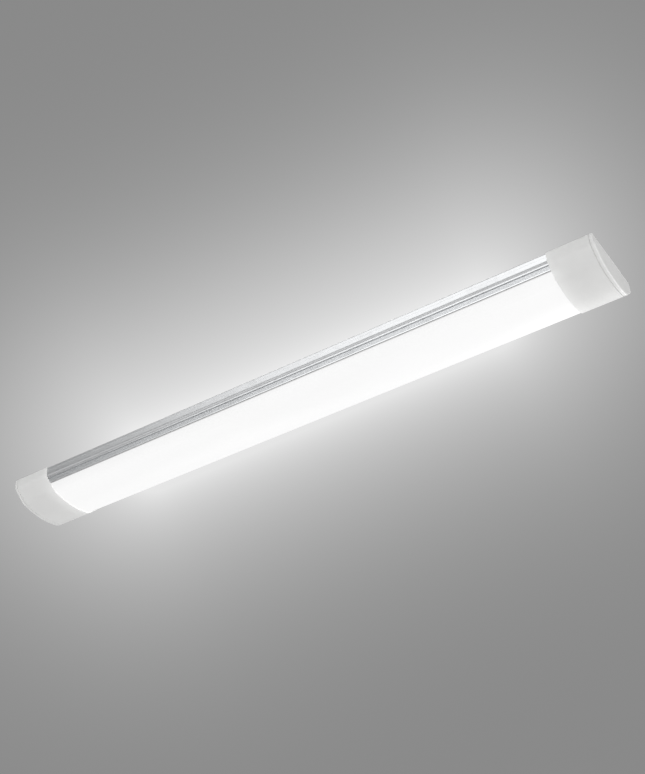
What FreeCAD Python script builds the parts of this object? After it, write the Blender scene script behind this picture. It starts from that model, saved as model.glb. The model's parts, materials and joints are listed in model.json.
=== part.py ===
import FreeCAD, Part
import math
import os
import re

import Sketcher
from FreeCAD import Placement, Rotation, Vector

# Slim LED ceiling batten, millimetres.
# Origin: on the ceiling plane, midway between the two fixing screws.
# +X runs along the lamp to its supply end, +Z points up into the ceiling,
# and the diffuser faces down, towards -Z.

os.makedirs("parts", exist_ok=True)
doc = FreeCAD.newDocument("led_batten")

# ---------------------------------------------------------------- driving dimensions

SIZES = {
    # the whole lamp, measured over the end caps
    "lamp_length": 600,
    "lamp_width": 75,
    "lamp_depth": 25,
    # end caps
    "cap_length": 40,
    "cap_step": 0.8,
    "cap_wall": 1.8,
    "cap_corner": 2,
    "chamber_corner": 1,
    "sleeve_length": 7,
    "sleeve_play": 0.1,
    "end_play": 0.2,
    "shield": 1,
    "shield_play": 0.1,
    "lug": 1.8,
    "lug_width": 7.6,
    "lug_depth": 8.2,
    "lug_root": 1.26,
    "window_inner": 20.5,
    "window_outer": 31.5,
    "window_top": 3.2,
    "seam_width": 0.4,
    "seam_depth": 0.6,
    "lip_radius": 0.3,
    # end covers
    "cover_plate": 3,
    "cover_rim": 1.1,
    "tab_length": 6,
    "tab_width": 8,
    "tab_thick": 1.4,
    "tab_play": 0.2,
    "back_tab": 20,
    "front_tab": 10,
    "front_tab_rise": 1,
    "side_tab_top": 3,
    "side_tab_low": 8,
    # arched outline: side walls, straight shoulders, round corners and a shallow crown
    "edge_depth": 9.95,
    "side_round": 5,
    "shoulder_angle": 41,
    "corner_radius": 16,
    "crown_radius": 85,
    # aluminium base
    "metal": 1.2,
    "side_wall": 1.3,
    "back_corner": 1.2,
    "skirt": 7.3,
    "rib_length": 1,
    "rib_height": 0.8,
    "lip_half": 10,
    "channel_half": 13,
    "channel_depth": 9.3,
    "port_offset": 16.2,
    "port_depth": 4.6,
    "port_radius": 2.7,
    "pilot_radius": 1.35,
    "thread_play": 0.05,
    "hole_play": 0.25,
    "groove_width": 1,
    "groove_cut": 0.7,
    "flute_width": 0.5,
    "flute_cut": 0.28,
    "flute_pitch": 0.8,
    "flute_count": 4,
    "groove_level": 4.4,
    "skirt_groove": 2.9,
    # diffuser
    "lens_wall": 1.4,
    "lens_gap": 0.4,
    "tongue_thick": 1,
    "tongue_play": 0.1,
    "hook_length": 1,
    # LED board
    "board_half_length": 258,
    "board_half_width": 29.8,
    "board_thick": 1,
    "led_rows_apart": 22,
    "led_pitch": 10.6,
    "leds_per_row": 48,
    "board_screw_pitch": 100,
    "board_screws": 6,
    "board_hole_play": 0.35,
    # mounting clips
    "clip_spacing": 360,
    "clip_length": 24,
    "clip_metal": 1,
    "clip_half": 9.4,
    "clip_hook": 12.2,
    "clip_drop": 7.2,
    "clip_bevel": 0.5,
    "clip_tip": 0.9,
    "clip_play": 0.1,
    "clip_hole": 2.25,
    # cable entries in the backs of the caps
    "entry_x": 281,
    "entry_y": -20,
    "entry_bore": 4,
    "entry_hole": 6,
    "entry_flange": 7.6,
    "flange_recess": 0.8,
    "bush_play": 0.1,
    "bush_lip": 0.9,
    "bush_taper": 0.3,
    "plug_depth": 0.8,
    # supply terminals
    "terminal_x": 276,
    "terminal_length": 11,
    "terminal_height": 10,
    "pole_pitch": 7.5,
    "pole_level": 7.6,
    "pole_first": 13,
    "terminal_edge": 0.6,
    "supply_hole": 1.7,
    "supply_drop": 1,
    "supply_hole_depth": 6,
    "lead_hole_depth": 3.5,
    "slot_half": 1.3,
    "slot_low": 2.6,
    "slot_high": 4.2,
    "slot_depth": 5,
    # earth connection
    "earth_x": 252,
    "earth_y": -25,
    # driver
    "driver_x": 62,
    "driver_length": 190,
    "driver_inner": 19.2,
    "driver_outer": 33,
    "tray_wall": 0.5,
    "tray_depth": 4.8,
    "tray_margin": 1,
    "tray_rib": 0.5,
    "ribs_apart": 6,
    "board_play": 0.2,
    "circuit_level": 3.1,
    "circuit_thick": 1,
    "socket_level": 2.8,
    "socket_depth": 3,
    "lead_radius": 0.95,
    "lead_play": 0.1,
    "leads_apart": 5,
    # plug on the back of the LED board
    "plug_x": 46,
    "plug_length": 8,
    "plug_height": 3.6,
    "plug_half_width": 4.5,
}

# Sizes that follow from the ones above.
ANGLE = math.radians(SIZES["shoulder_angle"])
HALF = SIZES["lamp_width"] / 2 - SIZES["cap_step"]
CROWN_CENTRE = SIZES["crown_radius"] - SIZES["lamp_depth"] + SIZES["cap_step"]
CENTRES_APART = SIZES["crown_radius"] - SIZES["corner_radius"]
SHOULDER_REACH = HALF * math.sin(ANGLE) + (SIZES["edge_depth"] + CROWN_CENTRE) * math.cos(ANGLE)
CROWN_ANGLE = ANGLE - math.acos((SHOULDER_REACH - SIZES["corner_radius"]) / CENTRES_APART)

SIZES["profile_half"] = HALF
SIZES["profile_end"] = (
    SIZES["lamp_length"] / 2 - SIZES["cap_length"] + SIZES["sleeve_length"] - SIZES["end_play"]
)
SIZES["crown_centre"] = CROWN_CENTRE
SIZES["crown_angle"] = math.degrees(CROWN_ANGLE)
SIZES["corner_y"] = CENTRES_APART * math.sin(CROWN_ANGLE)
SIZES["corner_z"] = CROWN_CENTRE - CENTRES_APART * math.cos(CROWN_ANGLE)
SIZES["round_y"] = HALF - SIZES["side_round"]
SIZES["round_z"] = SIZES["side_round"] * math.tan((math.pi / 2 - ANGLE) / 2) - SIZES["edge_depth"]
SIZES["board_top"] = SIZES["channel_depth"] + SIZES["metal"]
SIZES["cap_start"] = SIZES["lamp_length"] / 2 - SIZES["cap_length"]
SIZES["cap_end"] = SIZES["lamp_length"] / 2 - SIZES["cover_plate"]
SIZES["shield_x"] = SIZES["cap_start"] + SIZES["sleeve_length"]
SIZES["lug_x"] = SIZES["shield_x"] + SIZES["shield"] + SIZES["shield_play"]
SIZES["driver_y"] = (SIZES["driver_inner"] + SIZES["driver_outer"]) / 2
SIZES["driver_back"] = SIZES["circuit_level"] + SIZES["circuit_thick"]

sheet = doc.addObject("Spreadsheet::Sheet", "Sizes")
for row, (alias, number) in enumerate(SIZES.items(), start=1):
    sheet.set(f"A{row}", alias)
    sheet.set(f"B{row}", str(round(number, 6)))
    sheet.setAlias(f"B{row}", alias)
doc.recompute()

WORD = re.compile(r"[a-z][a-z_]+")


def bound(text):
    """Write an expression such as 'lamp_width / 2' with the sheet's name on each size."""
    return WORD.sub(lambda word: ("Sizes." if word.group() in SIZES else "") + word.group(), str(text))


def value(text):
    """The number that an expression gives now."""
    result = sheet.evalExpression(bound(text))
    return float(getattr(result, "Value", result))


# ---------------------------------------------------------------- outlines


def flip(corners):
    """The mirror image of a run of corners in y = 0, in the opposite order."""
    flipped = []
    for index in range(len(corners) - 1, -1, -1):
        y, z, _ = corners[index]
        radius = corners[index - 1][2] if index else None
        flipped.append((f"-({y})", z, radius))
    return flipped


def line(*pairs):
    """Corners joined by straight lines."""
    return [(y, z, None) for y, z in pairs]


def arch(offset):
    """Half of the arched face at an offset outwards: crown end, corner end."""
    return [
        (f"corner_y + (corner_radius + {offset}) * sin(crown_angle)",
         f"corner_z - (corner_radius + {offset}) * cos(crown_angle)",
         f"corner_radius + {offset}"),
        (f"corner_y + (corner_radius + {offset}) * sin(shoulder_angle)",
         f"corner_z - (corner_radius + {offset}) * cos(shoulder_angle)",
         None),
    ]


def rounding(offset):
    """Where the round between shoulder and side wall starts on the shoulder, at an offset outwards."""
    reach = f"(side_round + {offset})"
    return f"round_y + {reach} * sin(shoulder_angle)", f"round_z - {reach} * cos(shoulder_angle)"


def on_shoulder(along, out):
    """A point at a distance down the shoulder from the side wall's plane, and outwards from it."""
    return (
        f"profile_half - ({along}) * cos(shoulder_angle) + ({out}) * sin(shoulder_angle)",
        f"-edge_depth - ({along}) * sin(shoulder_angle) - ({out}) * cos(shoulder_angle)",
    )


def full_outline(offset, corner):
    """The lamp's whole cross-section, offset outwards, counter-clockwise from the crown's end."""
    side = f"profile_half + {offset}"
    back = f"-cap_step + {offset}"
    right = arch(offset)
    right += [(*rounding(offset), f"side_round + {offset}")]
    right += line((side, "round_z"))
    right += [(side, f"{back} - {corner}", corner)]
    right += line((f"{side} - {corner}", back))
    left = flip(right)
    crown = (left[-1][0], left[-1][1], f"crown_radius + {offset}")
    return right + left[:-1] + [crown]


def arc_between(start, end, radius):
    """A short arc from start to end; a positive radius turns it counter-clockwise."""
    chord = end - start
    across = Vector(-chord.y, chord.x, 0).normalize()
    height = math.sqrt(radius ** 2 - (chord.Length / 2) ** 2)
    centre = (start + end) * 0.5 + across * math.copysign(height, radius)
    first = math.atan2(start.y - centre.y, start.x - centre.x)
    last = math.atan2(end.y - centre.y, end.x - centre.x)
    if radius < 0:
        first, last = last, first
    circle = Part.Circle(centre, Vector(0, 0, 1), abs(radius))
    return Part.ArcOfCircle(circle, first, last if last > first else last + 2 * math.pi)


# ---------------------------------------------------------------- sketches and features

ORIGIN_POINT = (-1, 1)


def fix(sketch, kind, geometry, point, expression):
    """Hold one coordinate of a sketch point with a bound dimension."""
    limit = Sketcher.Constraint(kind, *ORIGIN_POINT, geometry, point, value(expression))
    number = sketch.addConstraint(limit)
    sketch.setExpression(f"Constraints[{number}]", bound(expression))


def new_body(name):
    body = doc.addObject("PartDesign::Body", name)
    body.Label = name
    body.Placement = Placement()
    return body


def new_sketch(body, name, plane, level="0"):
    sketch = body.newObject("Sketcher::SketchObject", name)
    base = [feature for feature in body.Origin.OriginFeatures if feature.Role == plane][0]
    sketch.AttachmentSupport = [(base, "")]
    sketch.MapMode = "FlatFace"
    sketch.setExpression("AttachmentOffset.Base.z", bound(level))
    return sketch


def draw_loop(sketch, corners):
    """Draw one closed loop; each corner is (x, y, radius of the arc to the next, or None)."""
    places = [Vector(value(x), value(y), 0) for x, y, _ in corners]
    count = len(corners)
    ends = []
    for index, (_, _, radius) in enumerate(corners):
        start = places[index]
        end = places[(index + 1) % count]
        if radius is None:
            geometry = sketch.addGeometry(Part.LineSegment(start, end), False)
            ends.append((geometry, 1, 2))
        else:
            size = value(radius)
            geometry = sketch.addGeometry(arc_between(start, end, size), False)
            ends.append((geometry, 1, 2) if size > 0 else (geometry, 2, 1))
            number = sketch.addConstraint(Sketcher.Constraint("Radius", geometry, abs(size)))
            sketch.setExpression(f"Constraints[{number}]", bound(f"abs({radius})"))
    for index in range(count):
        geometry, _, tail = ends[index]
        follower, head, _ = ends[(index + 1) % count]
        sketch.addConstraint(Sketcher.Constraint("Coincident", geometry, tail, follower, head))
    for (geometry, head, _), (x, y, _) in zip(ends, corners):
        fix(sketch, "DistanceX", geometry, head, x)
        fix(sketch, "DistanceY", geometry, head, y)


def draw_circle(sketch, x, y, radius):
    circle = Part.Circle(Vector(value(x), value(y), 0), Vector(0, 0, 1), value(radius))
    geometry = sketch.addGeometry(circle, False)
    fix(sketch, "DistanceX", geometry, 3, x)
    fix(sketch, "DistanceY", geometry, 3, y)
    number = sketch.addConstraint(Sketcher.Constraint("Radius", geometry, value(radius)))
    sketch.setExpression(f"Constraints[{number}]", bound(radius))


def box_loop(x_low, x_high, y_low, y_high):
    return line((x_low, y_low), (x_high, y_low), (x_high, y_high), (x_low, y_high))


def pad(body, sketch, length, backwards=False):
    """Add material along the sketch's normal, or against it."""
    feature = body.newObject("PartDesign::Pad", f"{sketch.Name}_pad")
    feature.Profile = sketch
    feature.setExpression("Length", bound(length))
    feature.Reversed = backwards
    sketch.Visibility = False
    doc.recompute()
    return feature


def cut(body, sketch, length, backwards=False):
    """Remove material along the sketch's normal, or against it."""
    before = body.Shape.Volume
    feature = body.newObject("PartDesign::Pocket", f"{sketch.Name}_cut")
    feature.Profile = sketch
    feature.setExpression("Length", bound(length))
    feature.Reversed = not backwards
    sketch.Visibility = False
    doc.recompute()
    if before - body.Shape.Volume < 1e-3:
        raise RuntimeError(f"{feature.Name} removes nothing")
    return feature


def rim_edges(body, x):
    """Names of the edges around the outside of the flat end at x."""
    shape = body.Shape
    ends = []
    for face in shape.Faces:
        box = face.BoundBox
        if abs(box.XMin - x) < 1e-4 and abs(box.XMax - x) < 1e-4:
            ends.append(face)
    end = max(ends, key=lambda face: face.OuterWire.BoundBox.YLength)
    outer = end.OuterWire.Edges
    return [
        f"Edge{index}"
        for index, edge in enumerate(shape.Edges, start=1)
        if any(edge.isSame(other) for other in outer)
    ]


def round_edges(body, edges, radius):
    solid = body.Tip
    feature = body.newObject("PartDesign::Fillet", f"{body.Name}_round")
    feature.Base = (solid, edges)
    feature.setExpression("Radius", bound(radius))
    doc.recompute()
    return feature


def upright_edges(body):
    """Names of the straight edges that run along Z."""
    names = []
    for index, edge in enumerate(body.Shape.Edges, start=1):
        box = edge.BoundBox
        if box.ZLength > 0.1 and box.XLength < 1e-4 and box.YLength < 1e-4:
            names.append(f"Edge{index}")
    return names


def block(name, x_range, y_range, z_range, radius=None):
    """A plain block between three pairs of bound positions, with rounded upright edges."""
    body = new_body(name)
    sketch = new_sketch(body, f"{name}_plan", "XY_Plane", z_range[0])
    draw_loop(sketch, box_loop(*x_range, *y_range))
    pad(body, sketch, f"({z_range[1]}) - ({z_range[0]})")
    if radius:
        round_edges(body, upright_edges(body), radius)
    return body


THREAD = "pilot_radius - thread_play"


def group(name, shapes):
    """One node that holds several separate solids."""
    feature = doc.addObject("Part::Feature", name)
    feature.Label = name
    feature.Shape = shapes[0] if len(shapes) == 1 else Part.makeCompound(shapes)
    return feature


def moved(shape, x, y, z, rotation=None):
    copy = shape.copy()
    copy.Placement = Placement(Vector(x, y, z), rotation or Rotation())
    return copy


def screw(head_radius, head_height, shank_radius, length):
    """A pan-head screw on Z: its head sits below z = 0 and its shank points up."""
    dome = head_height * 0.6
    chord = dome * (1 - math.sqrt(0.5))
    point = shank_radius * 0.4
    crown = Vector(head_radius - dome, 0, -head_height)
    rim = Vector(head_radius, 0, dome - head_height)
    corners = [
        rim,
        Vector(head_radius, 0, 0),
        Vector(shank_radius, 0, 0),
        Vector(shank_radius, 0, length - shank_radius),
        Vector(point, 0, length),
        Vector(0, 0, length),
        Vector(0, 0, -head_height),
        crown,
    ]
    edges = [Part.Arc(crown, Vector(head_radius - chord, 0, chord - head_height), rim).toShape()]
    edges += [Part.LineSegment(start, end).toShape() for start, end in zip(corners, corners[1:])]
    profile = Part.Wire(edges)
    solid = Part.Face(profile).revolve(Vector(), Vector(0, 0, 1), 360)
    arm = head_radius * 1.2
    slot = head_radius * 0.26
    depth = head_height * 0.6
    for turn in (0, 90):
        recess = Part.makeBox(arm, slot, depth, Vector(-arm / 2, -slot / 2, -head_height))
        recess.rotate(Vector(), Vector(0, 0, 1), turn)
        solid = solid.cut(recess)
    return solid


def lead(name, route, radius, bend):
    """A round lead along straight runs joined by tangent arcs."""
    places = [Vector(*place) for place in route]
    edges = []
    start = places[0]
    for before, here, after in zip(places, places[1:], places[2:]):
        inward = (before - here).normalize()
        outward = (after - here).normalize()
        half_turn = (math.pi - inward.getAngle(outward)) / 2
        trim = bend * math.tan(half_turn)
        arc_start = here + inward * trim
        arc_end = here + outward * trim
        bisector = (inward + outward).normalize()
        middle = here + bisector * (bend / math.cos(half_turn) - bend)
        edges.append(Part.LineSegment(start, arc_start).toShape())
        edges.append(Part.Arc(arc_start, middle, arc_end).toShape())
        start = arc_end
    edges.append(Part.LineSegment(start, places[-1]).toShape())
    path = Part.Wire(edges)
    ring = Part.Wire([Part.makeCircle(radius, places[0], places[1] - places[0])])
    tube = path.makePipeShell([ring], True, False)
    expected = math.pi * radius ** 2 * path.Length
    if abs(tube.Volume - expected) > 0.01 * expected:
        raise RuntimeError(f"{name} has the wrong volume")
    return group(name, [tube])


# ---------------------------------------------------------------- aluminium base


def make_base():
    """Extruded tray: walls turned in along the shoulders, a back rail for the clips and screw ports."""
    body = new_body("aluminium_base")
    shoulder = "-(cap_step + metal)"
    right = line(("lip_half", shoulder), ("lip_half", "-cap_step"))
    right += [("profile_half - back_corner", "-cap_step", "-back_corner")]
    right += line(
        ("profile_half", "-(cap_step + back_corner)"),
    )
    right += [("profile_half", "round_z", "-side_round")]
    right += line(
        rounding("0"),
        on_shoulder("skirt", "0"),
        on_shoulder("skirt", "-(side_wall + rib_height)"),
        on_shoulder("skirt - rib_length", "-(side_wall + rib_height)"),
        on_shoulder("skirt - rib_length", "-side_wall"),
    )
    right += [(*rounding("-side_wall"), "side_round - side_wall")]
    right += line(
        ("profile_half - side_wall", "round_z"),
        ("profile_half - side_wall", shoulder),
        ("channel_half + metal", shoulder),
        ("channel_half + metal", "-board_top"),
    )
    inside = line(
        ("-channel_half", shoulder),
        ("-channel_half", "-channel_depth"),
        ("channel_half", "-channel_depth"),
        ("channel_half", shoulder),
    )
    section = new_sketch(body, "base_section", "YZ_Plane", "-profile_end")
    draw_loop(section, right + flip(right) + inside)
    pad(body, section, "2 * profile_end")

    ports = new_sketch(body, "port_section", "YZ_Plane", "-profile_end")
    pilots = new_sketch(body, "pilot_section", "YZ_Plane", "-profile_end")
    for side in ("port_offset", "-port_offset"):
        draw_circle(ports, side, "-port_depth", "port_radius")
        draw_circle(pilots, side, "-port_depth", "pilot_radius")
    pad(body, ports, "2 * profile_end")
    cut(body, pilots, "2 * profile_end")

    grooves = new_sketch(body, "groove_section", "YZ_Plane", "-profile_end")
    wall_groove = line(
        ("profile_half", "-(groove_level - flute_width / 2)"),
        ("profile_half - flute_cut", "-groove_level"),
        ("profile_half", "-(groove_level + flute_width / 2)"),
    )
    notches = [("skirt_groove", "groove_width", "groove_cut")]
    for step in range(SIZES["flute_count"]):
        notches.append((f"skirt_groove + flute_pitch * {step + 1}", "flute_width", "flute_cut"))
    loops = [wall_groove]
    for centre, width, depth in notches:
        loops.append(line(
            on_shoulder(f"{centre} - {width} / 2", "0"),
            on_shoulder(centre, f"-{depth}"),
            on_shoulder(f"{centre} + {width} / 2", "0"),
        ))
    for loop in loops:
        draw_loop(grooves, loop)
        draw_loop(grooves, flip(loop))
    cut(body, grooves, "2 * profile_end")

    holes = new_sketch(body, "board_screw_holes", "XY_Plane", "-board_top")
    for place in board_screw_places():
        draw_circle(holes, place, "0", "pilot_radius")
    cut(body, holes, "metal")
    earth = new_sketch(body, "earth_hole", "XY_Plane", shoulder)
    draw_circle(earth, "earth_x", "earth_y", "pilot_radius")
    cut(body, earth, "metal")
    return body


def board_screw_places():
    """Positions along X of the screws down the middle of the LED board."""
    return [
        f"board_screw_pitch * {index - (SIZES['board_screws'] - 1) / 2}"
        for index in range(SIZES["board_screws"])
    ]


# ---------------------------------------------------------------- diffuser


def make_diffuser():
    """Opal cover: an arched wall with two hooked tongues that snap behind the base's ribs."""
    body = new_body("diffuser")
    edge = "skirt + lens_gap"
    outer = "-(side_wall + rib_height + tongue_play)"
    inner = f"{outer} - tongue_thick"
    hook_low = "skirt - rib_length - tongue_play"
    hook_face = "-(side_wall + tongue_play)"
    right = arch("0")
    right += line(
        on_shoulder(edge, "0"),
        on_shoulder(edge, outer),
        on_shoulder(hook_low, outer),
        on_shoulder(hook_low, hook_face),
        on_shoulder(f"{hook_low} - hook_length / 2", hook_face),
        on_shoulder(f"{hook_low} - hook_length", outer),
        on_shoulder(f"{hook_low} - hook_length", inner),
        on_shoulder(f"{edge} + tongue_thick", inner),
        on_shoulder(f"{edge} + 3 * tongue_thick", "-lens_wall"),
    )
    (crown_y, crown_z, radius), (corner_y, corner_z, _) = arch("-lens_wall")
    right += [(corner_y, corner_z, f"-({radius})")]
    right += [(crown_y, crown_z, "-(crown_radius - lens_wall)")]
    left = flip(right)
    left[-1] = (left[-1][0], left[-1][1], "crown_radius")
    section = new_sketch(body, "diffuser_section", "YZ_Plane", "-profile_end")
    draw_loop(section, right + left)
    pad(body, section, "2 * profile_end")
    return body


# ---------------------------------------------------------------- LED board


def make_led_board():
    body = new_body("led_board")
    plan = new_sketch(body, "board_plan", "XY_Plane", "-board_top")
    draw_loop(plan, box_loop(
        "-board_half_length", "board_half_length", "-board_half_width", "board_half_width"))
    for place in board_screw_places():
        draw_circle(plan, place, "0", "pilot_radius + board_hole_play")
    pad(body, plan, "board_thick", backwards=True)
    return body


def make_led_packages():
    """Two rows of surface-mounted packages, each with a round dish in its face."""
    length, width, height = 3.5, 2.8, 0.55
    outer_radius, inner_radius, dish = 1.15, 0.95, 0.2
    shell = Part.makeBox(length, width, height, Vector(-length / 2, -width / 2, -height))
    window = Part.makeCone(inner_radius, outer_radius, dish, Vector(0, 0, -height), Vector(0, 0, 1))
    package = shell.cut(window)
    underside = -value("board_top + board_thick")
    packages = []
    for row in (-0.5, 0.5):
        for index in range(SIZES["leds_per_row"]):
            along = (index - (SIZES["leds_per_row"] - 1) / 2) * SIZES["led_pitch"]
            packages.append(moved(package, along, row * SIZES["led_rows_apart"], underside))
    return group("led_packages", packages)


def make_board_screws():
    fastener = screw(head_radius=2.6, head_height=1.6, shank_radius=value(THREAD), length=3.6)
    underside = -value("board_top + board_thick")
    screws = [moved(fastener, value(place), 0, underside) for place in board_screw_places()]
    return group("led_board_screws", screws)


# ---------------------------------------------------------------- end caps


def make_cap(name, end):
    """Moulded cap at one end: a sleeve over the profile, then a wiring chamber with two screw lugs."""
    backwards = end < 0
    body = new_body(name)
    shell = new_sketch(body, f"{name}_outline", "YZ_Plane", f"{end} * cap_start")
    draw_loop(shell, full_outline("cap_step", "cap_corner"))
    pad(body, shell, "cap_end - cap_start - seam_width", backwards)
    land = new_sketch(body, f"{name}_land", "YZ_Plane", f"{end} * (cap_end - seam_width)")
    draw_loop(land, full_outline("(cap_step - seam_depth)", "(cap_corner - seam_depth)"))
    pad(body, land, "seam_width", backwards)
    round_edges(body, rim_edges(body, end * value("cap_start")), "lip_radius")

    sleeve = new_sketch(body, f"{name}_sleeve", "YZ_Plane", f"{end} * cap_start")
    draw_loop(sleeve, full_outline("sleeve_play", "(back_corner + sleeve_play)"))
    cut(body, sleeve, "sleeve_length", backwards)
    chamber = new_sketch(body, f"{name}_chamber", "YZ_Plane", f"{end} * shield_x")
    draw_loop(chamber, full_outline("(cap_step - cap_wall)", "chamber_corner"))
    cut(body, chamber, "cap_end - shield_x", backwards)

    lugs = new_sketch(body, f"{name}_lugs", "YZ_Plane", f"{end} * lug_x")
    holes = new_sketch(body, f"{name}_lug_holes", "YZ_Plane", f"{end} * lug_x")
    for side in ("port_offset", "-port_offset"):
        draw_loop(lugs, box_loop(
            f"{side} - lug_width / 2", f"{side} + lug_width / 2", "-lug_depth", "-lug_root"))
        draw_circle(holes, side, "-port_depth", "pilot_radius + hole_play")
    pad(body, lugs, "lug", backwards)
    cut(body, holes, "lug", backwards)

    entry = new_sketch(body, f"{name}_entry", "XY_Plane", "0")
    draw_circle(entry, f"{end} * entry_x", "entry_y", "entry_hole")
    cut(body, entry, "cap_wall", backwards=True)
    recess = new_sketch(body, f"{name}_entry_recess", "XY_Plane", "0")
    draw_circle(recess, f"{end} * entry_x", "entry_y", "entry_flange + bush_play")
    cut(body, recess, "flange_recess", backwards=True)
    return body


def make_shield(name, end):
    """Insulating plate between the profile's end and the cap's screw lugs, with two lead windows."""
    backwards = end < 0
    body = new_body(name)
    plate = new_sketch(body, f"{name}_plate", "YZ_Plane", f"{end} * shield_x")
    draw_loop(plate, full_outline("(cap_step - cap_wall - shield_play)", "chamber_corner"))
    for side in ("port_offset", "-port_offset"):
        draw_circle(plate, side, "-port_depth", "pilot_radius + hole_play")
    for low, high in (("window_inner", "window_outer"), ("-window_outer", "-window_inner")):
        draw_loop(plate, box_loop(low, high, "-board_top", "-window_top"))
    pad(body, plate, "shield", backwards)
    return body


def make_cover(name, end):
    """Push-in end cover: a plate with a rounded rim and six flat tabs that grip the cap's inside."""
    backwards = end < 0
    body = new_body(name)
    plate = new_sketch(body, f"{name}_plate", "YZ_Plane", f"{end} * cap_end")
    draw_loop(plate, full_outline("cap_step", "cap_corner"))
    pad(body, plate, "cover_plate", backwards)
    round_edges(body, rim_edges(body, end * value("lamp_length / 2")), "cover_rim")

    tabs = new_sketch(body, f"{name}_tabs", "YZ_Plane", f"{end} * cap_end")
    back = "-(cap_wall + tab_play)"
    floor = "-(lamp_depth - cap_wall - tab_play - front_tab_rise)"
    wall = "lamp_width / 2 - cap_wall - tab_play"
    for side in (-1, 1):
        flat_tabs = (("back_tab", f"{back} - tab_thick", back), ("front_tab", floor, f"{floor} + tab_thick"))
        for centre, low, high in flat_tabs:
            middle = f"{side} * {centre}"
            draw_loop(tabs, box_loop(f"{middle} - tab_width / 2", f"{middle} + tab_width / 2", low, high))
        edges = (f"{side} * ({wall})", f"{side} * ({wall} - tab_thick)")
        draw_loop(tabs, box_loop(*edges[::-side], "-side_tab_low", "-side_tab_top"))
    pad(body, tabs, "tab_length", not backwards)
    return body


def make_cap_screws():
    fastener = screw(head_radius=2.5, head_height=1.7, shank_radius=value(THREAD), length=9)
    seat = value("lug_x + lug")
    towards_middle = {1: Rotation(Vector(0, 1, 0), -90), -1: Rotation(Vector(0, 1, 0), 90)}
    screws = []
    for end, turn in towards_middle.items():
        for y in (-SIZES["port_offset"], SIZES["port_offset"]):
            screws.append(moved(fastener, end * seat, y, -SIZES["port_depth"], turn))
    return group("end_cap_screws", screws)


def make_bush(name, end, blind):
    """Rubber bush in a cap's cable entry: two flanges and a neck, bored unless it is a plug."""
    body = new_body(name)
    across = f"{end} * entry_x"
    layers = (
        ("outer", "-bush_play", "flange_recess - bush_play", "entry_flange"),
        ("neck", "-flange_recess", "cap_wall - flange_recess", "entry_hole - bush_play"),
        ("inner", "-cap_wall", "bush_lip", "entry_flange - bush_taper"),
    )
    for part, level, thick, radius in layers:
        layer = new_sketch(body, f"{name}_{part}", "XY_Plane", level)
        draw_circle(layer, across, "entry_y", radius)
        pad(body, layer, thick, backwards=True)
    bore = new_sketch(body, f"{name}_bore", "XY_Plane", "-bush_play")
    draw_circle(bore, across, "entry_y", "entry_bore")
    cut(body, bore, "plug_depth" if blind else "cap_wall + bush_lip - bush_play", backwards=True)
    return body


# ---------------------------------------------------------------- mounting clips


def make_clip(name, end):
    """Spring-steel strip bent into two hooks that snap under the lips of the back rail."""
    body = new_body(name)
    middle = f"{end} * clip_spacing / 2"
    hook_level = "-(cap_step + metal + clip_play)"
    right = [("clip_half - clip_metal", "0", "-clip_metal")]
    right += line(
        ("clip_half", "-clip_metal"),
        ("clip_half", hook_level),
        ("clip_hook - clip_bevel", hook_level),
        ("clip_hook", f"{hook_level} - clip_bevel"),
        ("clip_half + clip_bevel", "-clip_drop"),
        ("clip_half + clip_bevel - clip_tip", "-(clip_drop - clip_tip / 2)"),
        ("clip_hook - clip_bevel - clip_tip", f"{hook_level} - clip_metal"),
        ("clip_half - clip_metal", f"{hook_level} - clip_metal"),
        ("clip_half - clip_metal", "-clip_metal"),
    )
    section = new_sketch(body, f"{name}_section", "YZ_Plane", f"{middle} - clip_length / 2")
    draw_loop(section, right + flip(right))
    pad(body, section, "clip_length")
    hole = new_sketch(body, f"{name}_hole", "XY_Plane", "0")
    draw_circle(hole, middle, "0", "clip_hole")
    cut(body, hole, "clip_metal", backwards=True)
    return body


# ---------------------------------------------------------------- supply terminals and earth


BARREL = 1.7


def pole_places():
    """Positions across the lamp of the earth, neutral and live poles."""
    return [f"pole_first + pole_pitch * {index}" for index in range(3)]


def make_terminal():
    """Three-pole push-in terminal block standing on the cap's back wall."""
    body = new_body("terminal_block")
    first, last = pole_places()[0], pole_places()[-1]
    face = "terminal_x + terminal_length"
    plan = new_sketch(body, "terminal_plan", "XY_Plane", "-cap_wall")
    draw_loop(plan, box_loop("terminal_x", face, f"{first} - pole_pitch / 2", f"{last} + pole_pitch / 2"))
    pad(body, plan, "terminal_height", backwards=True)
    round_edges(body, upright_edges(body), "terminal_edge")
    outside = new_sketch(body, "supply_holes", "YZ_Plane", face)
    inside = new_sketch(body, "lead_holes", "YZ_Plane", "terminal_x")
    slots = new_sketch(body, "release_slots", "YZ_Plane", face)
    slot_low, slot_high = "-(pole_level - slot_low)", "-(pole_level - slot_high)"
    for place in pole_places():
        draw_circle(outside, place, "-(pole_level + supply_drop)", "supply_hole")
        draw_circle(inside, place, "-pole_level", "lead_radius + lead_play")
        draw_loop(slots, box_loop(f"{place} - slot_half", f"{place} + slot_half", slot_low, slot_high))
    cut(body, outside, "supply_hole_depth", backwards=True)
    cut(body, inside, "lead_hole_depth")
    cut(body, slots, "slot_depth", backwards=True)
    return body


def make_contacts():
    """Bent contact springs, one in the release slot of each pole."""
    length, width, thick, heel_height = 3.6, 2.2, 0.4, 1
    recess = 1
    front = value("terminal_x + terminal_length") - recess
    level = -value("pole_level - (slot_low + slot_high) / 2")
    leaf = Part.makeBox(length, width, thick, Vector(-length, -width / 2, -thick / 2))
    heel = Part.makeBox(thick, width, heel_height, Vector(-length, -width / 2, -heel_height / 2))
    spring = leaf.fuse(heel)
    return group("terminal_springs", [moved(spring, front, value(place), level) for place in pole_places()])


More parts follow.
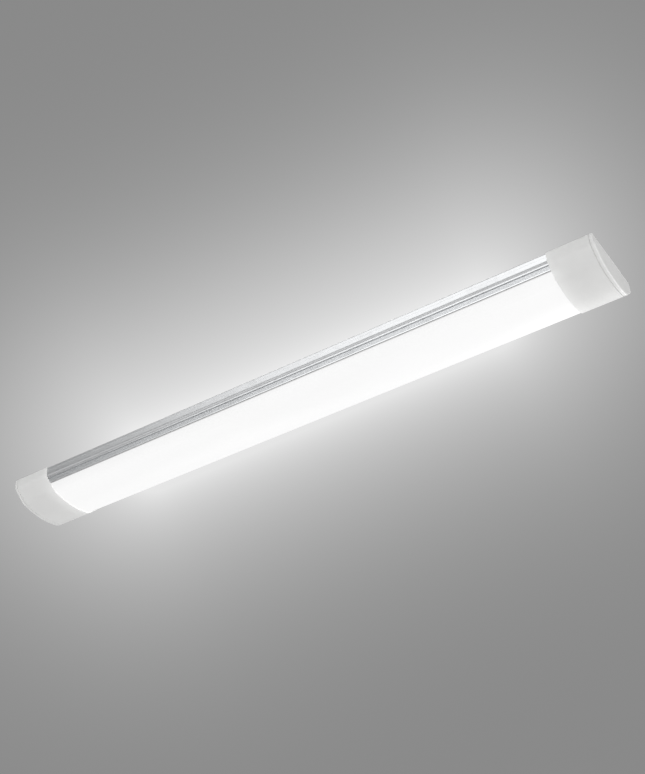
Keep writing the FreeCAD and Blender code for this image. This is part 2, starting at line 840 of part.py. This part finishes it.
def make_earth_tag():
    """Ring tag with a crimp barrel, screwed under the base's shoulder."""
    x, y, shoulder = SIZES["earth_x"], SIZES["earth_y"], -value("cap_step + metal")
    thick, ring_radius, width, reach = 0.8, 3.4, 3, 5
    barrel_start, bore_start, bore_length = 4.5, 5.5, 4
    along = Vector(1, 0, 0)
    ring = Part.makeCylinder(ring_radius, thick, Vector(x, y, shoulder - thick))
    tongue = Part.makeBox(reach, width, thick, Vector(x, y - width / 2, shoulder - thick))
    barrel = Part.makeCylinder(BARREL, reach, Vector(x + barrel_start, y, shoulder - BARREL), along)
    hole = Part.makeCylinder(value("pilot_radius + lead_play"), 3 * thick, Vector(x, y, shoulder - 2 * thick))
    bore_radius = value("lead_radius + lead_play / 2")
    bore = Part.makeCylinder(bore_radius, bore_length, Vector(x + bore_start, y, shoulder - BARREL), along)
    group("earth_tag", [ring.fuse([tongue, barrel]).cut([hole, bore])])
    fastener = screw(head_radius=2.6, head_height=1.6, shank_radius=value(THREAD), length=2)
    return group("earth_screw", [moved(fastener, x, y, shoulder - thick)])


# ---------------------------------------------------------------- driver


LEAD_PLACES = ("driver_y - leads_apart / 2", "driver_y + leads_apart / 2")
DRIVER_LEVEL = "-(driver_back + socket_level)"
PLUG_LEVEL = "-board_top + plug_height / 2"


def make_driver_tray():
    """Insulating channel stuck under the base's shoulder, with two ribs for the board."""
    body = new_body("driver_tray")
    top = "-(cap_step + metal)"
    floor = "-(cap_step + metal + tray_wall)"
    low = "-(cap_step + metal + tray_depth)"
    section = new_sketch(body, "tray_section", "YZ_Plane", "driver_x - tray_margin")
    draw_loop(section, line(
        ("driver_inner", top),
        ("driver_inner", low),
        ("driver_inner + tray_wall", low),
        ("driver_inner + tray_wall", floor),
        ("driver_y - ribs_apart / 2 - tray_rib", floor),
        ("driver_y - ribs_apart / 2 - tray_rib", "-circuit_level"),
        ("driver_y - ribs_apart / 2", "-circuit_level"),
        ("driver_y - ribs_apart / 2", floor),
        ("driver_y + ribs_apart / 2", floor),
        ("driver_y + ribs_apart / 2", "-circuit_level"),
        ("driver_y + ribs_apart / 2 + tray_rib", "-circuit_level"),
        ("driver_y + ribs_apart / 2 + tray_rib", floor),
        ("driver_outer - tray_wall", floor),
        ("driver_outer - tray_wall", low),
        ("driver_outer", low),
        ("driver_outer", top),
    ))
    pad(body, section, "driver_length + 2 * tray_margin")
    return body


def part_block(name, along, length, width, height, across=0, radius=None):
    """A driver component: a block that hangs under the circuit board."""
    x = f"driver_x + {along}"
    y = f"driver_y + {across}"
    return block(
        name,
        (x, f"{x} + {length}"),
        (f"{y} - {width} / 2", f"{y} + {width} / 2"),
        (f"-driver_back - {height}", "-driver_back"),
        radius,
    )


def lead_sockets(body, name, face_x, level, towards_supply):
    """Two round lead holes in a connector's end face."""
    sockets = new_sketch(body, f"{name}_sockets", "YZ_Plane", face_x)
    for place in LEAD_PLACES:
        draw_circle(sockets, place, level, "lead_radius + lead_play")
    cut(body, sockets, "socket_depth", backwards=towards_supply)


def lying_can(name, along, length, radius, groove):
    """Cylinders lying along X under the board, each with a crimp groove near one end."""
    edge_round, groove_place = 0.4, 1.8
    axis = Vector(1, 0, 0)
    cans = []
    for start in along:
        place = Vector(SIZES["driver_x"] + start, SIZES["driver_y"], -SIZES["driver_back"] - radius)
        can = Part.makeCylinder(radius, length, place, axis)
        can = can.makeFillet(edge_round, can.Edges)
        ring = Part.makeTorus(radius + groove * 0.4, groove, place + axis * groove_place, axis)
        cans.append(can.cut(ring))
    return group(name, cans)


def standing_coil(name, along, core_radius, wound_radius, height):
    """A drum core standing under the board, and its winding as a second node."""
    x, y, base = SIZES["driver_x"] + along, SIZES["driver_y"], -SIZES["driver_back"]
    flange = height * 0.18
    neck = wound_radius * 0.5
    down = Vector(0, 0, -1)
    core = Part.makeCylinder(neck, height, Vector(x, y, base), down)
    for level in (base, base - height + flange):
        core = core.fuse(Part.makeCylinder(core_radius, flange, Vector(x, y, level), down))
    outer = Part.makeCylinder(wound_radius, height - 2 * flange, Vector(x, y, base - flange), down)
    inner = Part.makeCylinder(neck, height, Vector(x, y, base), down)
    group(f"{name}_core", [core])
    return group(f"{name}_winding", [outer.cut(inner)])


def make_chip(along):
    """Eight-legged controller chip."""
    length, width, height, standoff = 4.9, 3.9, 1.4, 0.2
    pitch, first_leg, leg, leg_row, bridge_length = 1.27, 0.35, 0.4, 2.3, 1.2
    leg_height = 0.9
    x, y, base = SIZES["driver_x"] + along, SIZES["driver_y"], -SIZES["driver_back"]
    solid = Part.makeBox(length, width, height, Vector(x, y - width / 2, base - standoff - height))
    for index in range(4):
        leg_x = x + first_leg + index * pitch
        for side in (-1, 1):
            foot = Vector(leg_x, y - leg / 2 + side * leg_row, base - leg_height)
            root = Vector(leg_x, y - bridge_length / 2 + side * (leg_row - bridge_length / 2), foot.z)
            solid = solid.fuse([
                Part.makeBox(leg, leg, leg_height, foot),
                Part.makeBox(leg, bridge_length, leg / 2, root),
            ])
    return group("driver_controller", [solid])


def make_driver():
    make_driver_tray()
    block(
        "driver_board",
        ("driver_x", "driver_x + driver_length"),
        ("driver_inner + tray_wall + board_play", "driver_outer - tray_wall - board_play"),
        ("-driver_back", "-circuit_level"),
    )
    plug = {"length": 8, "width": 11, "height": 5.5, "radius": 0.5}
    supply = part_block("driver_input_connector", along=181, **plug)
    lead_sockets(supply, "driver_input", "driver_x + 189", DRIVER_LEVEL, True)
    output = part_block("driver_output_connector", along=1, **plug)
    lead_sockets(output, "driver_output", "driver_x + 1", DRIVER_LEVEL, False)
    part_block("driver_film_capacitor", along=138, length=13, width=5.5, height=5.8, radius=1)
    part_block("driver_bridge_rectifier", along=127, length=6.5, width=5, height=1.9, radius=0.2)
    part_block("driver_diode", along=42, length=5, width=2.8, height=2.2, across=1, radius=0.2)
    lying_can("driver_fuse", along=(167,), length=10, radius=2.2, groove=0.5)
    lying_can("driver_bulk_capacitors", along=(96, 111), length=13, radius=2.95, groove=0.45)
    lying_can("driver_output_capacitor", along=(22,), length=12, radius=2.6, groove=0.4)
    standing_coil("driver_choke", along=159, core_radius=4.9, wound_radius=4.2, height=5.6)
    standing_coil("driver_inductor", along=60, core_radius=5.8, wound_radius=5, height=5.8)
    make_chip(along=72)


# ---------------------------------------------------------------- leads

def make_board_connector():
    """Two-way connector on the back of the LED board, beside the driver."""
    body = block(
        "led_board_connector",
        ("plug_x", "plug_x + plug_length"),
        ("driver_y - plug_half_width", "driver_y + plug_half_width"),
        ("-board_top", "-board_top + plug_height"),
        0.4,
    )
    lead_sockets(body, "board_plug", "plug_x + plug_length", PLUG_LEVEL, True)


def make_leads():
    """Supply, earth and LED leads; each starts and ends a short way inside its terminal."""
    radius = SIZES["lead_radius"]
    seated = 2.5
    level = -SIZES["pole_level"]
    block_x = SIZES["terminal_x"]
    earth, neutral, live = (value(place) for place in pole_places())
    near, far = (value(place) for place in LEAD_PLACES)
    driver_level = value(DRIVER_LEVEL)
    socket = value("driver_x + 189")
    for name, pole, target in (("lead_neutral", neutral, near), ("lead_live", live, far)):
        lead(name, [
            (block_x + seated, pole, level),
            (block_x - 2, pole, level),
            (block_x - 6, target, (level + driver_level) / 2),
            (block_x - 12, target, driver_level),
            (socket - seated, target, driver_level),
        ], radius, bend=4)
    tag_x, tag_y = SIZES["earth_x"], SIZES["earth_y"]
    tag_z = -value("cap_step + metal") - BARREL
    lead("lead_earth", [
        (block_x + seated, earth, level),
        (block_x - 3, earth, level),
        (block_x - 3.6, tag_y + 5, level),
        (block_x - 8.5, tag_y, level + 0.6),
        (tag_x + 12, tag_y, tag_z),
        (tag_x + 6, tag_y, tag_z),
    ], radius, bend=3.6)
    exit_x = SIZES["driver_x"] + 1
    plug_face = value("plug_x + plug_length")
    plug_level = value(PLUG_LEVEL)
    for name, place in (("lead_led_negative", near), ("lead_led_positive", far)):
        lead(name, [
            (exit_x + seated, place, driver_level),
            (exit_x - 2.5, place, driver_level),
            (plug_face + 2, place, plug_level),
            (plug_face - seated, place, plug_level),
        ], radius, bend=2.4)


# ---------------------------------------------------------------- build and write

make_base()
make_diffuser()
make_led_board()
make_led_packages()
make_board_screws()
make_board_connector()
for side_name, side in (("supply", 1), ("blank", -1)):
    make_cap(f"cap_{side_name}", side)
    make_shield(f"shield_{side_name}", side)
    make_cover(f"cover_{side_name}", side)
    make_clip(f"clip_{side_name}", side)
make_cap_screws()
make_bush("cable_grommet", 1, blind=False)
make_bush("blanking_plug", -1, blind=True)
make_terminal()
make_contacts()
make_earth_tag()
make_driver()
make_leads()
doc.recompute()

for item in doc.Objects:
    if "Invalid" in item.State or "Error" in item.State:
        raise RuntimeError(f"{item.Name} failed: {item.State}")

pieces = [
    item
    for item in doc.Objects
    if item.TypeId in ("PartDesign::Body", "Part::Feature")
]
for piece in pieces:
    if piece.Shape.isNull() or not piece.Shape.isValid() or not piece.Shape.Solids:
        raise RuntimeError(f"{piece.Label} has no valid solid")
for piece in pieces:
    piece.Shape.exportStep(f"parts/{piece.Label}.step")
    box = piece.Shape.BoundBox
    spans = [f"{low:.1f}..{high:.1f}" for low, high in (
        (box.XMin, box.XMax), (box.YMin, box.YMax), (box.ZMin, box.ZMax))]
    print(f"{piece.Label}: {len(piece.Shape.Solids)} solid(s), {piece.Shape.Volume:.0f} mm3, {spans}")
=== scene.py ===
import json
import math

import bpy
from mathutils import Matrix, Vector


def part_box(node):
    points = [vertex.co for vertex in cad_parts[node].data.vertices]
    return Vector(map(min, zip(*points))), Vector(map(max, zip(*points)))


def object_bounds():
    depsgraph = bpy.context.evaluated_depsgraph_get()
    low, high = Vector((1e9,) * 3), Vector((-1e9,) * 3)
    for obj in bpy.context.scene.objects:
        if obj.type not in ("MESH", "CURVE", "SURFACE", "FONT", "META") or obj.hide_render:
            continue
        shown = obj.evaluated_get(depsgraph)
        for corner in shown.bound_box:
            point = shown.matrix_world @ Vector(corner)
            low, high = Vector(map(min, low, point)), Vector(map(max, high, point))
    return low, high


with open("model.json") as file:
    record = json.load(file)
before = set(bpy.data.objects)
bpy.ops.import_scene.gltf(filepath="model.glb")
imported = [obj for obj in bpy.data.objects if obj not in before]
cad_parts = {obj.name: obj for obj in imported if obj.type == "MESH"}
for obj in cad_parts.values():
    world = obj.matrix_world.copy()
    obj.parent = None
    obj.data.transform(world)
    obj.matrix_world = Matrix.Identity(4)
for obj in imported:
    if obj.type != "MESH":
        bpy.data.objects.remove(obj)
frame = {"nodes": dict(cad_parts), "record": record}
cad_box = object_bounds()
record = frame["record"]
nodes = frame["nodes"]

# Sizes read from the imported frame, in metres.
LAMP_DEPTH = cad_box[1].z - cad_box[0].z
CAP_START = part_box("cap_supply")[0].x
BASE_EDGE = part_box("aluminium_base")[0].z
LENS_HALF_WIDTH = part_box("diffuser")[1].y

MILLIMETRE = 0.001
MICRON = 0.000001
WHITE = (1.0, 1.0, 1.0)

# Places of the Mix node's colour sockets, which share their names with its number sockets.
MIX_COLOURS_IN = (6, 7)
MIX_COLOUR_OUT = 2

# The lamp hangs from the ceiling, so the room's floor is well below it.
FLOOR_LEVEL = -2.3
FLOOR_HALF_WIDTH = 30
FLOOR_GLOW = 0.15

# ---------------------------------------------------------------- material helpers


class NodeTree:
    """A node tree under construction, with short calls for the nodes used here."""

    def __init__(self, tree):
        self.tree = tree

    def add(self, kind, **settings):
        node = self.tree.nodes.new(kind)
        for key, setting in settings.items():
            setattr(node, key, setting)
        return node

    def join(self, source, target):
        self.tree.links.new(source, target)

    def math(self, operation, first, second=0.0):
        node = self.add("ShaderNodeMath", operation=operation)
        for socket, term in zip(node.inputs, (first, second)):
            if isinstance(term, bpy.types.NodeSocket):
                self.join(term, socket)
            else:
                socket.default_value = term
        return node.outputs["Value"]

    def remap(self, source, low, high, start=0.3, end=0.7, smooth=False):
        """Stretch the part of a pattern between start and end to the range low to high."""
        node = self.add("ShaderNodeMapRange", interpolation_type="SMOOTHSTEP" if smooth else "LINEAR")
        self.join(source, node.inputs["Value"])
        node.inputs["From Min"].default_value = start
        node.inputs["From Max"].default_value = end
        node.inputs["To Min"].default_value = low
        node.inputs["To Max"].default_value = high
        return node.outputs["Result"]

    def along(self, vector, direction):
        """How far a vector reaches along a fixed direction."""
        node = self.add("ShaderNodeVectorMath", operation="DOT_PRODUCT")
        node.inputs[1].default_value = direction
        self.join(vector, node.inputs[0])
        return node.outputs["Value"]


class Paint(NodeTree):
    """A material under construction: a Principled shader fed by object-space patterns."""

    def __init__(self, name):
        self.material = bpy.data.materials.new(name)
        self.material.use_nodes = True
        super().__init__(self.material.node_tree)
        self.shader = self.tree.nodes["Principled BSDF"]
        self.place = self.add("ShaderNodeTexCoord").outputs["Object"]

    def set(self, socket, setting):
        """Give a shader input a number, a colour or another node's output."""
        target = self.shader.inputs[socket]
        if isinstance(setting, bpy.types.NodeSocket):
            self.join(setting, target)
        elif target.type == "RGBA":
            target.default_value = (*setting, 1)
        else:
            target.default_value = setting

    def noise(self, scale, detail=3, roughness=0.5):
        """Noise in object space; scale is cycles per metre along X, Y and Z."""
        mapping = self.add("ShaderNodeMapping")
        mapping.inputs["Scale"].default_value = scale if isinstance(scale, tuple) else (scale,) * 3
        self.join(self.place, mapping.inputs["Vector"])
        noise = self.add("ShaderNodeTexNoise")
        noise.inputs["Scale"].default_value = 1
        noise.inputs["Detail"].default_value = detail
        noise.inputs["Roughness"].default_value = roughness
        self.join(mapping.outputs["Vector"], noise.inputs["Vector"])
        return noise.outputs["Fac"]

    def mix(self, factor, first, second):
        """Blend two colours by a pattern."""
        node = self.add("ShaderNodeMix", data_type="RGBA")
        self.join(factor, node.inputs["Factor"])
        for index, colour in zip(MIX_COLOURS_IN, (first, second)):
            socket = node.inputs[index]
            if isinstance(colour, bpy.types.NodeSocket):
                self.join(colour, socket)
            else:
                socket.default_value = (*colour, 1)
        return node.outputs[MIX_COLOUR_OUT]

    def axis(self, name):
        """One coordinate of the object-space position, in metres."""
        split = self.add("ShaderNodeSeparateXYZ")
        self.join(self.place, split.inputs["Vector"])
        return split.outputs[name]

    def bump(self, *layers):
        """Surface relief from (pattern, height in metres) layers."""
        normal = None
        for height, distance in layers:
            node = self.add("ShaderNodeBump")
            node.inputs["Strength"].default_value = 1
            node.inputs["Distance"].default_value = distance
            self.join(height, node.inputs["Height"])
            if normal is not None:
                self.join(normal, node.inputs["Normal"])
            normal = node.outputs["Normal"]
        self.join(normal, self.shader.inputs["Normal"])


def shade(colour, factor):
    """A lighter or darker version of a colour."""
    return tuple(min(1.0, channel * factor) for channel in colour)


def grey(level):
    return (level,) * 3


# ---------------------------------------------------------------- materials


def aluminium(name, colour):
    """Satin anodised extrusion: fine draw lines along X, broad streaks and faint handling marks."""
    paint = Paint(name)
    lines = paint.noise(scale=(5, 2600, 2600), detail=2)
    streaks = paint.noise(scale=(2.5, 260, 260), detail=4)
    marks = paint.noise(scale=55, detail=6, roughness=0.62)
    tone = paint.mix(paint.remap(streaks, low=0, high=1), shade(colour, 0.90), shade(colour, 1.04))
    soiled = paint.remap(marks, low=0, high=0.5, start=0.45, end=0.8)
    paint.set("Base Color", paint.mix(soiled, tone, shade(colour, 0.86)))
    paint.set("Metallic", 1.0)
    satin = paint.remap(streaks, low=0.27, high=0.36)
    dulled = paint.remap(marks, low=0.0, high=0.07, start=0.5, end=0.75)
    paint.set("Roughness", paint.math("ADD", satin, dulled))
    paint.set("Anisotropic", 0.55)
    paint.bump((lines, 12 * MICRON), (streaks, 30 * MICRON))
    return paint.material


# Painted light: a glow the caps emit beside their lip, standing in for the diffuser's light coming
# through it; its strength, and how far in it reaches, in metres.
LIP_GLOW = 0.10
LIP_GLOW_REACH = 0.006


def moulded_plastic(name, colour, rough=0.42, lip_glow=0.0):
    """Injection-moulded plastic: spark-eroded grain, faint flow lines and soft mottling."""
    paint = Paint(name)
    grain = paint.noise(scale=2300, detail=2)
    mottle = paint.noise(scale=38, detail=4)
    flow = paint.noise(scale=(14, 60, 60), detail=3)
    mottled = paint.mix(paint.remap(mottle, low=0, high=1), shade(colour, 0.975), shade(colour, 1.015))
    paint.set("Base Color", mottled)
    sheen = paint.remap(flow, low=rough - 0.04, high=rough + 0.05)
    paint.set("Roughness", paint.math("ADD", sheen, paint.remap(grain, low=-0.03, high=0.03)))
    paint.set("Subsurface Weight", 0.12)
    paint.set("Subsurface Radius", (4 * MILLIMETRE,) * 3)
    paint.set("Subsurface Scale", 1.0)
    # Painted light: the cap emits a glow that fades inward from its lip beside the diffuser.
    if lip_glow:
        beyond = paint.math("SUBTRACT", paint.math("ABSOLUTE", paint.axis("X")), CAP_START)
        fade = paint.math("DIVIDE", beyond, -LIP_GLOW_REACH)
        strength = paint.math("MULTIPLY", paint.math("EXPONENT", fade), lip_glow)
        paint.set("Emission Color", WHITE)
        paint.set("Emission Strength", strength)
    paint.bump((grain, 8 * MICRON), (flow, 32 * MICRON))
    return paint.material


LENS_GLOW = 0.64
# Beyond this distance from its middle line the diffuser begins to look a little less bright.
LENS_RIM = 0.75 * LENS_HALF_WIDTH
# The diffuser darkens over the last fraction of a millimetre beside the aluminium, below its edge.
LENS_SHADOW_END = BASE_EDGE - 1.0 * MILLIMETRE
LENS_SHADOW_START = BASE_EDGE - 0.3 * MILLIMETRE


def opal_diffuser(name):
    """Lit opal polycarbonate: an even white glow that stops at the base's edge, under a satin skin."""
    paint = Paint(name)
    haze = paint.noise(scale=(6, 40, 40), detail=3)
    grain = paint.noise(scale=1500, detail=2)
    paint.set("Base Color", paint.mix(haze, grey(0.40), grey(0.44)))
    paint.set("Roughness", paint.remap(grain, low=0.30, high=0.40))
    across = paint.math("ABSOLUTE", paint.axis("Y"))
    rim = paint.remap(across, low=1.0, high=0.90, start=LENS_RIM, end=LENS_HALF_WIDTH)
    height = paint.axis("Z")
    shadow = paint.remap(height, low=1.0, high=0.15, start=LENS_SHADOW_END, end=LENS_SHADOW_START)
    patches = paint.remap(haze, low=0.985, high=1.01)
    paint.set("Emission Color", WHITE)
    level = paint.math("MULTIPLY", paint.math("MULTIPLY", rim, patches), LENS_GLOW)
    paint.set("Emission Strength", paint.math("MULTIPLY", level, shadow))
    paint.bump((grain, 10 * MICRON))
    return paint.material


def spring_steel(name, colour):
    """Rolled strip: lines across the bend, a little oil tint and fine scratches."""
    paint = Paint(name)
    lines = paint.noise(scale=(1800, 30, 30), detail=3)
    tint = paint.noise(scale=90, detail=4)
    oiled = paint.mix(paint.remap(tint, low=0, high=1), shade(colour, 0.82), shade(colour, 1.05))
    paint.set("Base Color", oiled)
    paint.set("Metallic", 1.0)
    paint.set("Roughness", paint.remap(lines, low=0.22, high=0.40))
    paint.bump((lines, 20 * MICRON))
    return paint.material


def plated_metal(name, colour):
    """Small turned or stamped metal parts, with plating mottle."""
    paint = Paint(name)
    mottle = paint.noise(scale=700, detail=4)
    plated = paint.mix(paint.remap(mottle, low=0, high=1), shade(colour, 0.85), shade(colour, 1.08))
    paint.set("Base Color", plated)
    paint.set("Metallic", 1.0)
    paint.set("Roughness", paint.remap(mottle, low=0.19, high=0.37))
    paint.bump((mottle, 10 * MICRON))
    return paint.material


def solder_mask(name, colour):
    """Coated circuit board: slight orange peel, with copper planes showing through as darker areas."""
    paint = Paint(name)
    peel = paint.noise(scale=900, detail=3)
    planes = paint.remap(paint.noise(scale=120, detail=1), low=0, high=1, start=0.495, end=0.505)
    paint.set("Base Color", paint.mix(planes, shade(colour, 0.92), shade(colour, 1.05)))
    paint.set("Roughness", paint.remap(peel, low=0.22, high=0.34))
    paint.set("Coat Weight", 0.3)
    paint.bump((peel, 12 * MICRON), (planes, 10 * MICRON))
    return paint.material


def gloss_plastic(name, colour):
    """Small glossy mouldings, sleeves and lead insulation."""
    paint = Paint(name)
    mottle = paint.noise(scale=420, detail=4)
    mottled = paint.mix(paint.remap(mottle, low=0, high=1), shade(colour, 0.9), shade(colour, 1.08))
    paint.set("Base Color", mottled)
    paint.set("Roughness", paint.remap(mottle, low=0.23, high=0.36))
    paint.bump((mottle, 15 * MICRON))
    return paint.material


def soft_rubber(name, colour):
    """Moulded rubber with a dusty, uneven sheen."""
    paint = Paint(name)
    dust = paint.noise(scale=260, detail=5, roughness=0.65)
    dusted = paint.mix(paint.remap(dust, low=0, high=1), shade(colour, 0.86), shade(colour, 1.04))
    paint.set("Base Color", dusted)
    paint.set("Roughness", paint.remap(dust, low=0.55, high=0.75))
    paint.set("Sheen Weight", 0.2)
    paint.bump((dust, 30 * MICRON))
    return paint.material


def sintered(name, colour):
    """Ferrite: dark, matt and slightly pitted."""
    paint = Paint(name)
    pits = paint.noise(scale=1400, detail=4, roughness=0.7)
    pitted = paint.mix(paint.remap(pits, low=0, high=1), shade(colour, 0.7), shade(colour, 1.3))
    paint.set("Base Color", pitted)
    paint.set("Roughness", paint.remap(pits, low=0.5, high=0.7))
    paint.bump((pits, 40 * MICRON))
    return paint.material


WIRE_PITCH = 0.45 * MILLIMETRE


def wound_copper(name, colour):
    """Enamelled wire wound round Z: fine turns stacked along the coil's height."""
    paint = Paint(name)
    turns = paint.math("SINE", paint.math("MULTIPLY", paint.axis("Z"), 2 * math.pi / WIRE_PITCH))
    wander = paint.noise(scale=600, detail=2)
    # Painted shade: the colour is darker in the grooves between the turns and lighter on their crests.
    groove_shade = paint.remap(turns, low=0, high=1, start=-1, end=1)
    paint.set("Base Color", paint.mix(groove_shade, shade(colour, 0.55), shade(colour, 1.1)))
    paint.set("Metallic", 0.85)
    paint.set("Roughness", paint.remap(wander, low=0.24, high=0.36))
    paint.bump((turns, 80 * MICRON))
    return paint.material


MAKERS = {
    "profile_aluminium": aluminium,
    "opal_diffuser": lambda name, colour: opal_diffuser(name),
    "cap_white": lambda name, colour: moulded_plastic(name, colour, lip_glow=LIP_GLOW),
    "cover_white": lambda name, colour: moulded_plastic(name, colour, rough=0.36),
    "board_white": solder_mask,
    "circuit_green": solder_mask,
    "screw_steel": plated_metal,
    "clip_steel": spring_steel,
    "contact_brass": plated_metal,
    "tray_clear": lambda name, colour: moulded_plastic(name, colour, rough=0.5),
    "bush_rubber": soft_rubber,
    "ferrite": sintered,
    "copper": wound_copper,
}


def paint_nodes():
    """One procedural material for each of the record's slots, given to every node that uses it."""
    colours = {entry["slot"]: tuple(entry["base_color"][:3]) for entry in record["materials"]}
    made = {slot: MAKERS.get(slot, gloss_plastic)(slot, colour) for slot, colour in colours.items()}
    for entry in record["subparts"]:
        node = nodes[entry["node"]]
        for slot in node.material_slots:
            slot.material = made[entry["material_slot"]]


# ---------------------------------------------------------------- room, lights and camera

CAMERA_AZIMUTH = 32.5
CAMERA_ELEVATION = -36.6
CAMERA_DISTANCE = 1.221
CAMERA_ROLL = -2.74
CAMERA_LENS = 64
CAMERA_SENSOR = 36
CAMERA_NEAR_LIMIT = 0.01
AIM = Vector((0.026, 0, -LAMP_DEPTH / 3))


def sphere_point(azimuth, elevation, distance):
    """A point at a distance from the origin; azimuth 0 is on the -Y side."""
    turn, rise = math.radians(azimuth), math.radians(elevation)
    return distance * Vector((
        math.sin(turn) * math.cos(rise),
        -math.cos(turn) * math.cos(rise),
        math.sin(rise),
    ))


def make_camera():
    data = bpy.data.cameras.new("camera")
    data.lens = CAMERA_LENS
    data.sensor_width = CAMERA_SENSOR
    data.clip_start = CAMERA_NEAR_LIMIT
    data.clip_end = 2 * FLOOR_HALF_WIDTH
    camera = bpy.data.objects.new("camera", data)
    bpy.context.scene.collection.objects.link(camera)
    camera.location = sphere_point(CAMERA_AZIMUTH, CAMERA_ELEVATION, CAMERA_DISTANCE)
    facing = (AIM - camera.location).to_track_quat("-Z", "Y").to_matrix()
    camera.rotation_euler = (facing @ Matrix.Rotation(math.radians(CAMERA_ROLL), 3, "Z")).to_euler()
    bpy.context.scene.camera = camera
    return camera


def make_floor():
    """A plain pale floor far below the lamp."""
    mesh = bpy.data.meshes.new("floor")
    quarters = ((-1, -1), (1, -1), (1, 1), (-1, 1))
    corners = [(FLOOR_HALF_WIDTH * x, FLOOR_HALF_WIDTH * y, 0) for x, y in quarters]
    mesh.from_pydata(corners, [], [(0, 1, 2, 3)])
    floor = bpy.data.objects.new("floor", mesh)
    floor.location.z = FLOOR_LEVEL
    bpy.context.scene.collection.objects.link(floor)
    paint = Paint("floor")
    cloud = paint.noise(scale=3, detail=3)
    paint.set("Base Color", paint.mix(cloud, grey(0.76), grey(0.80)))
    paint.set("Roughness", paint.remap(cloud, low=0.7, high=0.8))
    paint.set("Emission Color", WHITE)
    paint.set("Emission Strength", FLOOR_GLOW)
    mesh.materials.append(paint.material)


# Brightness of the surroundings: above, and at the horizon, with the heights (as sines) of the fade.
ROOM_LEVEL = 0.25
HORIZON_LEVEL = 0.39
HORIZON_FADE = (0.06, 0.36)

# The lamp's halo on the surroundings: a close bright part and a wide one, with angles in radians.
NEAR_GLOW = 0.20
WIDE_GLOW = 0.38
NEAR_GLOW_ANGLE = 0.018
WIDE_GLOW_ANGLE = 0.10
WIDE_GLOW_POWER = 1.5
LAMP_HALF_ANGLE = 0.022
GLOW_HALF_LENGTH = 0.13
CEILING_BIAS = 0.35


def make_world(camera):
    """Soft surroundings, pale at the horizon, with a halo behind the lamp as its light spreads."""
    world = bpy.data.worlds.new("studio")
    bpy.context.scene.world = world
    world.use_nodes = True
    sky = NodeTree(world.node_tree)
    place = sky.add("ShaderNodeTexCoord").outputs["Generated"]
    ends = [Vector((side * CAP_START, 0, -LAMP_DEPTH / 2)) - camera.location for side in (1, -1)]
    upward = ends[0].cross(ends[1]).normalized()
    middle = (ends[0].normalized() + ends[1].normalized()).normalized()
    lengthways = upward.cross(middle).normalized()
    # How far, as an angle, a direction lies from the lit tube's line and past its ends.
    off_line = sky.along(place, upward)
    reach = sky.math("ABSOLUTE", sky.along(place, lengthways))
    past_end = sky.math("MAXIMUM", sky.math("SUBTRACT", reach, GLOW_HALF_LENGTH), 0.0)
    spread = sky.math("ADD", sky.math("POWER", off_line, 2.0), sky.math("POWER", past_end, 2.0))
    gap = sky.math("MAXIMUM", sky.math("SUBTRACT", sky.math("SQRT", spread), LAMP_HALF_ANGLE), 0.0)
    near = sky.math("EXPONENT", sky.math("DIVIDE", gap, -NEAR_GLOW_ANGLE))
    widened = sky.math("POWER", sky.math("DIVIDE", gap, WIDE_GLOW_ANGLE), WIDE_GLOW_POWER)
    wide = sky.math("EXPONENT", sky.math("MULTIPLY", widened, -1.0))
    glow = sky.math("ADD", sky.math("MULTIPLY", near, NEAR_GLOW), sky.math("MULTIPLY", wide, WIDE_GLOW))
    side = sky.math("TANH", sky.math("DIVIDE", off_line, WIDE_GLOW_ANGLE))
    towards_ceiling = sky.math("ADD", sky.math("MULTIPLY", side, CEILING_BIAS), 1.0)
    facing = sky.math("GREATER_THAN", sky.along(place, middle), 0.0)
    halo = sky.math("MULTIPLY", sky.math("MULTIPLY", glow, towards_ceiling), facing)
    fade_start, fade_end = HORIZON_FADE
    height = sky.along(place, (0, 0, 1))
    room = sky.remap(height, HORIZON_LEVEL, ROOM_LEVEL, start=fade_start, end=fade_end, smooth=True)
    background = world.node_tree.nodes["Background"]
    sky.join(sky.math("ADD", halo, room), background.inputs["Strength"])
    background.inputs["Color"].default_value = (*WHITE, 1)


def area_light(name, azimuth, elevation, size, power, distance=2.2):
    """A soft light aimed at the lamp's middle, not itself seen by the camera."""
    data = bpy.data.lights.new(name, "AREA")
    data.shape = "RECTANGLE"
    data.size, data.size_y = size
    data.energy = power
    light = bpy.data.objects.new(name, data)
    light.location = sphere_point(azimuth, elevation, distance)
    light.rotation_euler = (-light.location).to_track_quat("-Z", "Y").to_euler()
    light.visible_camera = False
    bpy.context.scene.collection.objects.link(light)


def make_lights():
    area_light("key", azimuth=-3, elevation=36, size=(2.4, 1.4), power=14)
    area_light("front", azimuth=-22, elevation=-6, size=(1.6, 0.9), power=3)
    area_light("strip", azimuth=-15, elevation=-50, size=(1.6, 1.2), power=8, distance=2.0)
    area_light("far_side", azimuth=170, elevation=-12, size=(1.6, 1.2), power=20, distance=2.4)
    area_light("end", azimuth=95, elevation=-15, size=(1.2, 1.2), power=15)
    area_light("back", azimuth=205, elevation=52, size=(1.6, 1.2), power=16, distance=2.4)


paint_nodes()
camera = make_camera()
make_floor()
make_world(camera)
make_lights()
bpy.context.scene.view_settings.view_transform = "Standard"
